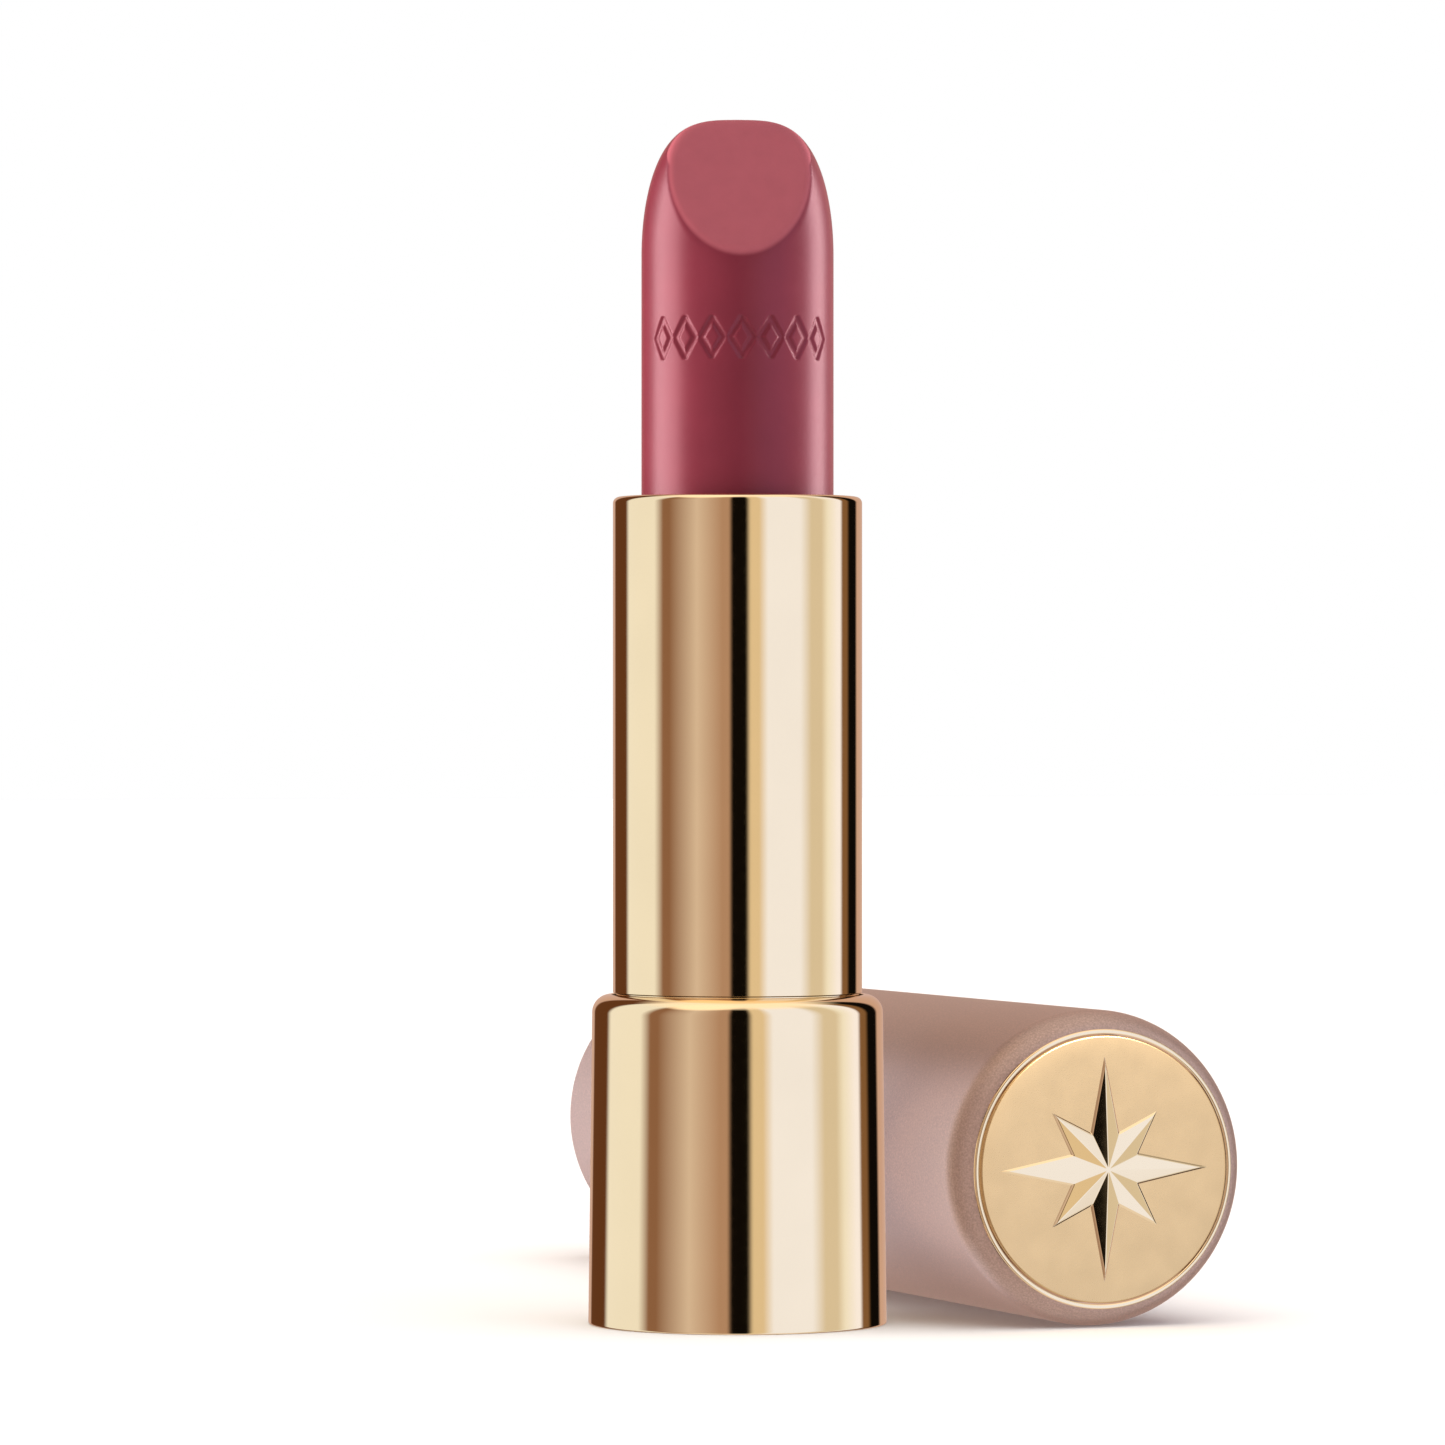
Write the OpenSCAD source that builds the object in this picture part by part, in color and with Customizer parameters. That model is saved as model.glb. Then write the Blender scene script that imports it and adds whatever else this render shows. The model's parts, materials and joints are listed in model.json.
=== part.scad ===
// Slim twist-up lipstick case, opened: the case stands with its lipstick fully out, and its cap lies beside it.
// Millimetres. Origin at the centre of the foot, +Z up along the case's axis.
// The cap lies on its side with its axis along Y and its mouth towards +Y.

/* [Base] */
// Radius of the base sleeve at the foot
base_foot_r = 9.4; // [9.3:0.05:9.4]
// Radius of the base sleeve below its shoulder
base_top_r = 9.15; // [9.1:0.05:9.2]
// Height of the base sleeve
base_h = 20.7; // [20:0.1:21]
// Radius of the rounding on the base sleeve's shoulder
base_round_r = 1.3; // [1.1:0.1:1.4]
// Wall of the base sleeve
base_wall = 0.45; // [0.4:0.05:0.5]
// Height of the counterweight
weight_h = 7.9; // [6:0.1:7.9]

/* [Tube] */
// Outer radius of the tube
tube_r = 7.85; // [7.82:0.01:7.86]
// Wall of the tube
tube_wall = 0.42; // [0.4:0.01:0.44]
// Height of the tube's rim above the foot
rim_h = 52; // [51.5:0.1:53]

/* [Twist mechanism] */
// Height that the lipstick rises from fully down to fully out
travel = 24.5; // [22:0.5:25]
// Turns of the tube from fully down to fully out
turns = 1.25; // [1:0.25:1.25]
// Running gap between sliding parts
run_gap = 0.05; // [0.04:0.01:0.05]
// Radius of the two lugs on the cup
lug_r = 0.8; // [0.7:0.05:0.85]
// Width of the guide tube's slots
slot_w = 1.9; // [1.85:0.05:2]

/* [Lipstick] */
// Radius of the lipstick
bullet_r = 6.05; // [5.9:0.05:6.05]
// Height of the lipstick's tip above the foot, fully out
tip_h = 75.7; // [75:0.1:76]
// Height of the rounded tip
tip_round_h = 8.5; // [7.5:0.5:9.5]
// Height of the slanted cut
cut_h = 8.5; // [8:0.1:9]
// Angle of the slanted cut above level
cut_angle = 60; // [58:0.5:62]
// Direction that the cut faces, turned about +Z from -Y
front_yaw = -18.5; // [-45:0.5:45]

/* [Cap] */
// Outer radius of the cap
cap_r = 9.9; // [9.85:0.05:10]
// Wall of the cap's shell behind its mouth band
cap_wall = 0.6; // [0.6:0.01:0.65]
// Wall of the cap's mouth band, which slides over the base
mouth_wall = 0.42; // [0.4:0.01:0.42]
// Length of the cap, from its mouth to its end's rim line
cap_l = 71.7; // [71.5:0.1:72]
// Radius of the push button in the cap's end
button_r = 8.38; // [8.3:0.01:8.4]
// Travel of the push button
button_travel = 1.8; // [1.2:0.1:1.8]
// How far the button's middle stands above its edge
button_dome = 0.65; // [0.4:0.05:0.8]
// Distance of the lying cap's axis from the case's axis
cap_x = 20; // [19.9:0.1:24]
// How far behind the case's axis the lying cap's mouth is
cap_mouth_y = 59.5; // [55:0.5:64]

/* [Hidden] */
$fn = 96;
eps = 0.01;

// Base, from the foot up
glue_gap = 0.03;
foot_edge = 0.15;
label_r = 7.5;
label_z = [0, 0.15];
weight_r = 7.5;
floor_top = 1.6;
flange_z = [9.6, 11.4];
flange_r = 8.05;
plug_top = base_h - base_round_r - 0.1;
plug_bore_r = 8.1;
key_w = 3;
key_reach = 0.35;

// Mechanism, from the axis outwards and from the flange up
cup_wall = 0.35;
cup_r = bullet_r + cup_wall;
guide_in_r = cup_r + run_gap;
guide_r = guide_in_r + 0.4;
cam_in_r = guide_r + run_gap;
tube_in_r = tube_r - tube_wall;
cam_r = tube_in_r - glue_gap;
lug_reach = cam_r - 0.1;
collar_r = tube_in_r - 0.13;
collar_top = 14;
tube_bottom = flange_z[1] + 0.3;
tube_neck_r = tube_r - 0.17;
cam_z = [collar_top + 0.1, rim_h - 1.8];
ring_z = [cam_z[1] + 0.1, cam_z[1] + 0.7];
guide_top = rim_h - 0.8;
lip_in_r = cup_r + 0.2;
lip_depth = 0.55;
brake_wire_r = 0.33;
brake_z = 12.7;
brake_r = tube_in_r - 0.015 - brake_wire_r;

// Cup and lugs, fully out
cup_top = rim_h - 0.8;
cup_h = 11;
cup_floor = 1;
lug_z = cup_top - 9.2;
slot_end_gap = 0.3;
groove_end_gap = 0.25;
lead = travel / turns;
groove_angle = 40;
groove_h = travel + 2 * (lug_r + groove_end_gap);

// Cap, measured along its own axis from the mouth
foot_shows = 1.6;
cap_in_r = cap_r - cap_wall;
mouth_r = cap_r - mouth_wall;
mouth_band_h = base_h - foot_shows - 0.05;
round_x = 1.9;
round_z = 2.2;
bezel_r = [8.45, 8.75];
bezel_flange_r = 9;
bezel_flange_z = [cap_l - 2.3, cap_l - 1.8];
bezel_top = cap_l - 0.4;
liner_z = [base_h - foot_shows + 0.05, cap_l - 9.85];
liner_r = 8.85;
liner_in_r = 8.05;
liner_ring_r = cap_in_r - 0.05;
rib_z = [30, 48];
rib_in_r = tube_r + 0.02;
rib_w = 1.2;
plate_z = [liner_z[1], liner_z[1] + 1.65];
stem_r = 2.5;
stem_gap = 0.1;
neck_r = 2;
head_r = 5;
head_h = 1;
skirt_w = 0.4;
button_edge_z = cap_l - 0.35;
button_under_z = cap_l - 1.4;
skirt_bottom = button_edge_z - 1.5;
stop_z = skirt_bottom - button_travel - 0.05;
bell_z = [50.5, plate_z[0] - 0.05];
bell_hub_h = 1.5;
bell_r = [6.95, 7.9];
clip_h = 0.6;
spring_wire_r = 0.25;
spring_r = 4.2;
spring_turns = 5;
spring_z = [plate_z[1] + 0.02, button_under_z - head_h - 0.02];

gold = [0.86, 0.72, 0.5];
mauve = [0.7, 0.55, 0.5];
rose = [0.62, 0.3, 0.36];
ivory = [0.9, 0.87, 0.8];
black = [0.12, 0.12, 0.13];
steel = [0.62, 0.63, 0.65];

// Points of a part of an ellipse, counter-clockwise from angle a0 to a1
function arc(c, rx, ry, a0, a1, n = 8) =
    [for (i = [0 : n]) let (a = a0 + (a1 - a0) * i / n) [c[0] + rx * cos(a), c[1] + ry * sin(a)]];

// Radius of the base sleeve's straight side at a height
function base_side_r(z) = base_foot_r + (base_top_r - base_foot_r) * z / (base_h - base_round_r);

// A ring with square edges
module ring(r_out, r_in, z) {
    translate([0, 0, z[0]]) difference() {
        cylinder(r = r_out, h = z[1] - z[0]);
        translate([0, 0, -eps]) cylinder(r = r_in, h = z[1] - z[0] + 2 * eps);
    }
}

module turned(points) {
    rotate_extrude() polygon(points);
}

// Carries a shape drawn upright on the cap's own axis to where the cap lies
module in_cap() {
    translate([cap_x, cap_mouth_y, cap_r]) rotate([90, 0, 0]) children();
}

// Drawn metal sleeve, open below, with a rounded shoulder and a hole for the tube
module base_sleeve() {
    hole_r = tube_r + 0.1;
    c_r = base_top_r - base_round_r;
    c_z = base_h - base_round_r;
    in_round = base_round_r - base_wall;
    out_a = acos((hole_r - c_r) / base_round_r);
    in_a = acos((hole_r - c_r) / in_round);
    color(gold) turned(concat(
        [[base_side_r(0) - foot_edge, 0], [base_side_r(foot_edge), foot_edge]],
        arc([c_r, c_z], base_round_r, base_round_r, 0, out_a, 12),
        arc([c_r, c_z], in_round, in_round, in_a, 0, 12),
        [[base_side_r(0) - base_wall, 0]]));
}

// Moulded inner base: foot, pocket for the weight, and the seat of the guide tube
module base_plug() {
    wall = base_wall + glue_gap;
    color(ivory) difference() {
        turned([[label_r + 0.2, 0], [base_side_r(0) - wall, 0], [base_side_r(plug_top) - wall, plug_top],
                [plug_bore_r, plug_top], [plug_bore_r, flange_z[0]], [weight_r + 0.05, flange_z[0]],
                [weight_r + 0.05, floor_top], [0, floor_top], [0, label_z[1]],
                [label_r + 0.2, label_z[1]]]);
        for (side = [0, 180]) rotate([0, 0, side])
            translate([plug_bore_r - 0.5, -key_w / 2 - 0.1, flange_z[0]])
                cube([0.5 + key_reach, key_w + 0.2, plug_top]);
    }
}

module base_weight() {
    edge = 0.3;
    color(steel) turned([[0, floor_top], [weight_r - edge, floor_top], [weight_r, floor_top + edge],
                         [weight_r, floor_top + weight_h - edge],
                         [weight_r - edge, floor_top + weight_h], [0, floor_top + weight_h]]);
}

// Plain round label in the foot's recess
module base_label() {
    color("white") translate([0, 0, label_z[0]]) cylinder(r = label_r, h = label_z[1] - label_z[0]);
}

// Slotted guide that keeps the cup from turning: a keyed flange, a collar and a slit tube
module guide_tube() {
    groove_r = brake_r - brake_wire_r;
    groove = [brake_z - 0.4, brake_z + 0.4];
    clip_r = guide_r - 0.2;
    color(ivory) difference() {
        union() {
            turned([[guide_in_r, flange_z[0]], [flange_r, flange_z[0]], [flange_r, flange_z[1]],
                    [collar_r, flange_z[1]], [collar_r, groove[0]], [groove_r, groove[0]],
                    [groove_r, groove[1]], [collar_r, groove[1]], [collar_r, collar_top],
                    [guide_r, collar_top], [guide_r, ring_z[0]], [clip_r, ring_z[0]],
                    [clip_r, ring_z[1]], [guide_r, ring_z[1]], [guide_r, guide_top],
                    [guide_in_r, guide_top]]);
            for (side = [0, 180]) rotate([0, 0, side])
                translate([flange_r - 0.4, -key_w / 2, flange_z[0]])
                    cube([0.4 + key_reach, key_w, flange_z[1] - flange_z[0]]);
        }
        slot_z = lug_z - travel - lug_r - slot_end_gap;
        slot_h = travel + 2 * (lug_r + slot_end_gap);
        translate([-guide_r - 1, -slot_w / 2, slot_z]) cube([2 * guide_r + 2, slot_w, slot_h]);
    }
}

// Silicone ring that drags lightly on the tube, so that it turns smoothly and stays where it is put
module brake_ring() {
    color(black) translate([0, 0, brake_z]) rotate_extrude()
        translate([brake_r, 0]) circle(r = brake_wire_r, $fn = 32);
}

// Split spring ring that holds the cam down on the guide tube
module retaining_ring() {
    gap_w = 1.5;
    color(steel) difference() {
        ring(cam_r - 0.15, guide_r - 0.19, [ring_z[0] + 0.02, ring_z[1] - 0.02]);
        translate([0, -gap_w / 2, ring_z[0] - 1]) cube([tube_r, gap_w, 3]);
    }
}

// Drawn metal tube: its lip turns in over the guide tube, and its neck goes down into the base
module tube_shell() {
    lip_r = 0.4;
    edge_r = 0.2;
    color(gold) turned(concat(
        [[tube_in_r, tube_bottom], [tube_neck_r, tube_bottom], [tube_neck_r, base_h + 0.1],
         [tube_r, base_h + 0.1]],
        arc([tube_r - lip_r, rim_h - lip_r], lip_r, lip_r, 0, 90, 8),
        arc([lip_in_r + edge_r, rim_h - edge_r], edge_r, edge_r, 90, 180, 6),
        [[lip_in_r, rim_h - lip_depth], [tube_in_r, rim_h - lip_depth]]));
}

// Sleeve with two helical grooves; turning it drives the cup's lugs up or down
module spiral_cam() {
    start_z = lug_z - travel - lug_r - groove_end_gap;
    start_a = -360 * (lug_z - start_z) / lead;
    color(ivory) difference() {
        ring(cam_r, cam_in_r, cam_z);
        translate([0, 0, start_z])
            linear_extrude(height = groove_h, twist = -360 * groove_h / lead, slices = 72, segments = 4)
                for (side = [0, 180]) rotate(start_a + side) groove_section();
    }
}

module groove_section() {
    r0 = cam_in_r - 0.5;
    r1 = cam_r + 0.8;
    half = groove_angle / 2;
    polygon([for (p = [[r0, -half], [r1, -half], [r1, half], [r0, half]])
        [p[0] * cos(p[1]), p[0] * sin(p[1])]]);
}

// Carrier that grips the lipstick's foot, with two lugs through the guide's slots
module cup() {
    bottom = cup_top - cup_h;
    color(ivory) {
        difference() {
            translate([0, 0, bottom]) cylinder(r = cup_r, h = cup_h);
            translate([0, 0, bottom + cup_floor]) cylinder(r = bullet_r, h = cup_h);
            translate([0, 0, bottom - eps]) cylinder(r = 2.5, h = cup_h);
        }
        for (side = [0, 180]) rotate([0, 0, side])
            translate([bullet_r + 0.1, 0, lug_z]) rotate([0, 90, 0])
                cylinder(r = lug_r, h = lug_reach - bullet_r - 0.1, $fn = 48);
    }
}

// Lipstick: a stick with a rounded tip, cut to a slanted face
module bullet() {
    bottom = cup_top - cup_h + cup_floor;
    body_top = tip_h - tip_round_h;
    tip = [for (a = [0 : 5 : 90]) [bullet_r * pow(cos(a), 4 / 7), body_top + tip_round_h * sin(a)]];
    color(rose) difference() {
        turned(concat([[0, bottom], [bullet_r, bottom]], tip));
        rotate([0, 0, front_yaw]) translate([0, -bullet_r, tip_h - cut_h])
            rotate([cut_angle, 0, 0]) translate([-10, -1, 0]) cube([20, 20, 10]);
    }
}

// Drawn metal shell of the cap, open at the mouth and round the button, with a wider band in its mouth
module cap_shell() {
    mouth_edge = 0.12;
    c = [cap_r - round_x, cap_l - 0.4 - round_z];
    in_x = round_x - cap_wall;
    in_z = round_z - cap_wall;
    hole_r = bezel_r[1] + eps;
    out_a = acos((hole_r - c[0]) / round_x);
    in_a = acos((hole_r - c[0]) / in_x);
    color(mauve) in_cap() turned(concat(
        [[mouth_r, 0], [cap_r - mouth_edge, 0], [cap_r, mouth_edge]],
        arc(c, round_x, round_z, 0, out_a, 12),
        arc(c, in_x, in_z, in_a, 0, 10),
        [[cap_in_r, mouth_band_h], [mouth_r, mouth_band_h]]));
}

// Moulded liner: two centring rings outside and six ribs inside that grip the tube
module cap_liner() {
    ring_h = 3;
    color(ivory) in_cap() {
        ring(liner_r, liner_in_r, liner_z);
        for (z = [liner_z[0], (liner_z[0] + liner_z[1] - ring_h) / 2, liner_z[1] - ring_h])
            ring(liner_ring_r, liner_r - 0.2, [z, z + ring_h]);
        intersection() {
            ring(liner_in_r + 0.2, rib_in_r, rib_z);
            for (i = [0 : 5]) rotate([0, 0, 60 * i])
                translate([0, -rib_w / 2, rib_z[0]]) cube([liner_r, rib_w, rib_z[1] - rib_z[0]]);
        }
    }
}

// Thin bright ring round the button, held by its flange under the shell
module cap_bezel() {
    edge_r = 0.12;
    color(gold) in_cap() turned(concat(
        [[bezel_r[0], bezel_flange_z[0]], [bezel_flange_r, bezel_flange_z[0]],
         [bezel_flange_r, bezel_flange_z[1]], [bezel_r[1], bezel_flange_z[1]]],
        arc([bezel_r[1] - edge_r, bezel_top - edge_r], edge_r, edge_r, 0, 90, 4),
        arc([bezel_r[0] + edge_r, bezel_top - edge_r], edge_r, edge_r, 90, 180, 4)));
}

// Moulded housing of the button: a plate with the stem's bore and a wall with the stop ledge
module button_guide() {
    wall_r = cap_in_r - 0.1;
    bore_r = stem_r + stem_gap;
    color(ivory) in_cap() turned([
        [bore_r, plate_z[0]], [wall_r, plate_z[0]], [wall_r, bezel_flange_z[0]],
        [bezel_r[0], bezel_flange_z[0]], [bezel_r[0], stop_z], [button_r - skirt_w - 0.2, stop_z],
        [button_r - skirt_w - 0.2, plate_z[1]], [bore_r, plate_z[1]]]);
}

// Stamped face of the push button, slightly domed, with a guiding skirt
module button_disc() {
    top_z = button_edge_z + button_dome;
    sphere_r = (pow(button_r, 2) + pow(button_dome, 2)) / (2 * button_dome);
    dome_a = asin(button_r / sphere_r);
    color(gold) in_cap() turned(concat(
        [[0, button_under_z], [button_r - skirt_w, button_under_z], [button_r - skirt_w, skirt_bottom],
         [button_r, skirt_bottom]],
        arc([0, top_z - sphere_r], sphere_r, sphere_r, 90 - dome_a, 90, 10)));
}

// Plunger under the button, with a neck for the bell and a groove for the clip
module button_stem() {
    hub_bottom = bell_z[1] - bell_hub_h;
    end_z = hub_bottom - clip_h - 1;
    color(black) in_cap() turned([
        [0, end_z], [neck_r - 0.3, end_z], [neck_r, end_z + 0.3], [neck_r, hub_bottom - clip_h],
        [neck_r - 0.5, hub_bottom - clip_h], [neck_r - 0.5, hub_bottom], [neck_r, hub_bottom],
        [neck_r, bell_z[1]], [stem_r, bell_z[1]], [stem_r, button_under_z - head_h],
        [head_r, button_under_z - head_h], [head_r, button_under_z], [0, button_under_z]]);
}

// Compression spring that returns the button
module button_spring() {
    sides = 8;
    steps = 24;
    n = spring_turns * steps;
    z0 = spring_z[0] + spring_wire_r;
    rise = spring_z[1] - spring_z[0] - 2 * spring_wire_r;
    points = [for (i = [0 : n], k = [0 : sides - 1])
        let (a = 360 * i / steps, b = 360 * k / sides, r = spring_r + spring_wire_r * cos(b))
        [r * cos(a), r * sin(a), z0 + rise * i / n + spring_wire_r * sin(b)]];
    walls = [for (i = [0 : n - 1], k = [0 : sides - 1]) let (m = (k + 1) % sides)
        [i * sides + k, (i + 1) * sides + k, (i + 1) * sides + m, i * sides + m]];
    ends = [[for (k = [0 : sides - 1]) k], [for (k = [sides - 1 : -1 : 0]) n * sides + k]];
    color(steel) in_cap() polyhedron(points = points, faces = concat(walls, ends));
}

// Bell on the stem that pushes the closed tube's rim out of the cap
module ejector_bell() {
    hub_bottom = bell_z[1] - bell_hub_h;
    color(ivory) in_cap() turned([
        [bell_r[0], bell_z[0]], [bell_r[1], bell_z[0]], [bell_r[1], bell_z[1]], [neck_r, bell_z[1]],
        [neck_r, hub_bottom], [bell_r[0], hub_bottom]]);
}

// Open clip in the stem's groove, under the bell
module stem_clip() {
    z = bell_z[1] - bell_hub_h - clip_h;
    mouth_w = 2.4;
    color(steel) in_cap() difference() {
        ring(3.4, neck_r - 0.5, [z, z + clip_h]);
        translate([0, -mouth_w / 2, z - 1]) cube([5, mouth_w, clip_h + 2]);
    }
}

base_sleeve();
base_plug();
base_weight();
base_label();
guide_tube();
brake_ring();
retaining_ring();
tube_shell();
spiral_cam();
cup();
bullet();
cap_shell();
cap_liner();
cap_bezel();
button_guide();
button_disc();
button_stem();
button_spring();
ejector_bell();
stem_clip();
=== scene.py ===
"""Looks of a slim twist-up lipstick case, opened, with its cap lying beside it.

Lengths in the outlines are in millimetres, as in the CAD; the meshes are in metres, in the row frame.
The cap's pieces are drawn upright on the cap's own axis, from its mouth, and laid down by in_cap().
"""

import json
import math

import bmesh
import bpy
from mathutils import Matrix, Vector

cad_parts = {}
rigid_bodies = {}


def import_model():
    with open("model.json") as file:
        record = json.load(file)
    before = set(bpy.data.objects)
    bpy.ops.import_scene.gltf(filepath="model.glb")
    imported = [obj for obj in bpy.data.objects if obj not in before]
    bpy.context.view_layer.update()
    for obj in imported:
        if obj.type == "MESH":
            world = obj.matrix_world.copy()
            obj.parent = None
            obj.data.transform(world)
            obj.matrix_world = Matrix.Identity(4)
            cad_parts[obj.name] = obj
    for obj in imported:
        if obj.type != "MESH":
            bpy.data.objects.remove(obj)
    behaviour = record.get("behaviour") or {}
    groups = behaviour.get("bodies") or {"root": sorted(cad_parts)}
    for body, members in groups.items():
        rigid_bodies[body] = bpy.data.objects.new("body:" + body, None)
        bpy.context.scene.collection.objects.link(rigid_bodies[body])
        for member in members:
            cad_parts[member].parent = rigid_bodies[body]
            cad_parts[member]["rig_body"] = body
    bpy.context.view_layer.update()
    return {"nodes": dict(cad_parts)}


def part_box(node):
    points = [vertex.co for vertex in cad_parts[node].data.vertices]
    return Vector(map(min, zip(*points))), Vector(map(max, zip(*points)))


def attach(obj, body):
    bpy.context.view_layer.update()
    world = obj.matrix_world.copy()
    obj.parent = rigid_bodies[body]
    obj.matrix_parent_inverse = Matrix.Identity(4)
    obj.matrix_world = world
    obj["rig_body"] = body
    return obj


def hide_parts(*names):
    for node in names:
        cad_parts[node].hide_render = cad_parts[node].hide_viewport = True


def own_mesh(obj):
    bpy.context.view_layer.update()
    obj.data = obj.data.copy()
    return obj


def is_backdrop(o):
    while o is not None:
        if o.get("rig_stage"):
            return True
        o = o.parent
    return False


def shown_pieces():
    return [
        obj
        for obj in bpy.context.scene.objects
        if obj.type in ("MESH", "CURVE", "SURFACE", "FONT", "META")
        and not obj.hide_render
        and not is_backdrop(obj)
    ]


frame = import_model()

MM = 0.001
SEGMENTS = 256

# A length in millimetres that counts as none
TINY = 1e-6

# Camera, level with the middle of the case and turned to see the cap's end
CAMERA_TURN = math.radians(20.9)
CAMERA_DISTANCE = 466.2 * MM
CAMERA_SIDE = -0.945 * MM
CAMERA_HEIGHT = 37.8 * MM
CAMERA_LENS = 184.4
FORWARD = Vector((math.sin(CAMERA_TURN), math.cos(CAMERA_TURN), 0))
RIGHT = Vector((math.cos(CAMERA_TURN), -math.sin(CAMERA_TURN), 0))
MIDDLE = Vector((0, 0, CAMERA_HEIGHT))


def span(node, axis):
    """Lowest and highest value of a CAD node along one axis, in millimetres."""
    low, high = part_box(node)
    return low[axis] / MM, high[axis] / MM


def radius(node):
    """Radius of a round CAD node whose axis is square to X, in millimetres."""
    low, high = span(node, 0)
    return (high - low) / 2


# Sizes from the frame; BEZEL_TOP, BUTTON_TOP, LINER_Z and BELL_Z are measured from the cap's mouth
BASE_R = radius("base_sleeve")
BASE_H = span("base_sleeve", 2)[1]
TUBE_R = radius("tube_shell")
TUBE_Z = span("tube_shell", 2)
BULLET_R = radius("bullet")
BULLET_Z = span("bullet", 2)
CAP_R = radius("cap_shell")
CAP_X = sum(span("cap_shell", 0)) / 2
CAP_Z = sum(span("cap_shell", 2)) / 2
CAP_MOUTH_Y = span("cap_shell", 1)[1]
BEZEL_TOP = CAP_MOUTH_Y - span("cap_bezel", 1)[0]
BUTTON_R = radius("button_disc")
BUTTON_TOP = CAP_MOUTH_Y - span("button_disc", 1)[0]
LINER_Z = [CAP_MOUTH_Y - y for y in reversed(span("cap_liner", 1))]
BELL_Z = [CAP_MOUTH_Y - y for y in reversed(span("ejector_bell", 1))]


# ---------------------------------------------------------------- node graphs

# Most of a noise pattern's values lie between these
NOISE_SPAN = (0.3, 0.7)
NARROW_SPAN = (0.35, 0.65)


class Graph:
    """A node tree, and a short way to add linked nodes to it."""

    def __init__(self, owner):
        owner.use_nodes = True
        self.tree = owner.node_tree
        self.tree.nodes.clear()

    def add(self, kind, inputs=None, out=0, **settings):
        node = self.tree.nodes.new(kind)
        for key, value in settings.items():
            setattr(node, key, value)
        for key, value in (inputs or {}).items():
            if isinstance(value, bpy.types.NodeSocket):
                self.tree.links.new(value, node.inputs[key])
            else:
                node.inputs[key].default_value = value
        return node.outputs[out] if node.outputs else node

    def math(self, operation, a, b=0.0):
        return self.add("ShaderNodeMath", {0: a, 1: b}, operation=operation)

    def dot(self, vector, direction):
        return self.add("ShaderNodeVectorMath", {0: vector, 1: direction}, out=1, operation="DOT_PRODUCT")

    def remap(self, value, low, high, to_low=0.0, to_high=1.0, smooth=False):
        inputs = {0: value, 1: low, 2: high, 3: to_low, 4: to_high}
        return self.add("ShaderNodeMapRange", inputs, interpolation_type="SMOOTHSTEP" if smooth else "LINEAR")

    def ramp(self, value, stops, interpolation="LINEAR"):
        """A colour ramp of (position, linear colour) stops."""
        node = self.tree.nodes.new("ShaderNodeValToRGB")
        self.tree.links.new(value, node.inputs[0])
        node.color_ramp.interpolation = interpolation
        elements = node.color_ramp.elements
        while len(elements) < len(stops):
            elements.new(0.5)
        for element, (position, colour) in zip(elements, stops):
            element.position = position
            element.color = (*colour, 1)
        return node.outputs[0]

    def mix(self, share, a, b):
        return self.add("ShaderNodeMix", {0: share, 6: a, 7: b}, out=2, data_type="RGBA")

    def place(self):
        """The point on the piece at rest, in metres."""
        return self.add("ShaderNodeTexCoord", out=3)

    def noise(self, grain_mm, detail=2.0, roughness=0.5, stretch=None):
        """Noise whose grain is about that size."""
        place = self.place()
        if stretch:
            place = self.add("ShaderNodeMapping", {0: place, 3: stretch})
        inputs = {"Vector": place, "Scale": 1 / (grain_mm * MM), "Detail": detail, "Roughness": roughness}
        return self.add("ShaderNodeTexNoise", inputs)

    def mottled(self, pattern, colour, darkest, lightest):
        """The colour times a factor that goes from darkest to lightest by a noise pattern."""
        low, high = NOISE_SPAN
        return self.ramp(pattern, [(low, tint(colour, darkest)), (high, tint(colour, lightest))])

    def varied(self, pattern, low, high, noise_span=NOISE_SPAN):
        """A value that goes from low to high by a noise pattern."""
        return self.remap(pattern, *noise_span, low, high)

    def bump(self, height, depth_mm, strength=1.0):
        return self.add("ShaderNodeBump", {"Height": height, "Distance": depth_mm * MM, "Strength": strength})


def tint(colour, factor):
    return [min(1.0, c * factor) for c in colour]


def rgba(colour):
    return (*colour, 1)


def finished(graph, material, inputs):
    """Ends a material in one Principled shader with these inputs."""
    shader = graph.add("ShaderNodeBsdfPrincipled", inputs)
    graph.add("ShaderNodeOutputMaterial", {0: shader})
    return material


# ---------------------------------------------------------------- materials

GOLD = (0.90, 0.70, 0.45)
GOLD_SATIN = (0.70, 0.46, 0.22)
MAUVE = (0.46, 0.31, 0.26)
ROSE = (0.178, 0.021, 0.038)
ROSE_CUT = (0.383, 0.089, 0.114)
IVORY = (0.80, 0.74, 0.62)
BLACK = (0.012, 0.012, 0.013)
STEEL = (0.56, 0.57, 0.60)
SILICONE = (0.02, 0.02, 0.022)
PAPER = (0.85, 0.82, 0.78)


def gold_mirror():
    """Polished gold: faint clouding in its colour and in its polish."""
    material = bpy.data.materials.new("gold_mirror")
    g = Graph(material)
    return finished(g, material, {
        "Base Color": g.mottled(g.noise(6.0), GOLD, 0.985, 1.015),
        "Metallic": 1.0, "Roughness": g.varied(g.noise(0.5), 0.045, 0.065, NARROW_SPAN)})


def gold_satin():
    """Gold with a fine blasted grain, for the field of the button."""
    material = bpy.data.materials.new("gold_satin")
    g = Graph(material)
    grain = g.noise(0.05)
    return finished(g, material, {
        "Base Color": g.mottled(g.noise(2.0), GOLD_SATIN, 0.96, 1.04),
        "Metallic": 1.0, "Roughness": g.varied(grain, 0.26, 0.34),
        "Normal": g.bump(grain, 0.0015, 0.5)})


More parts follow.
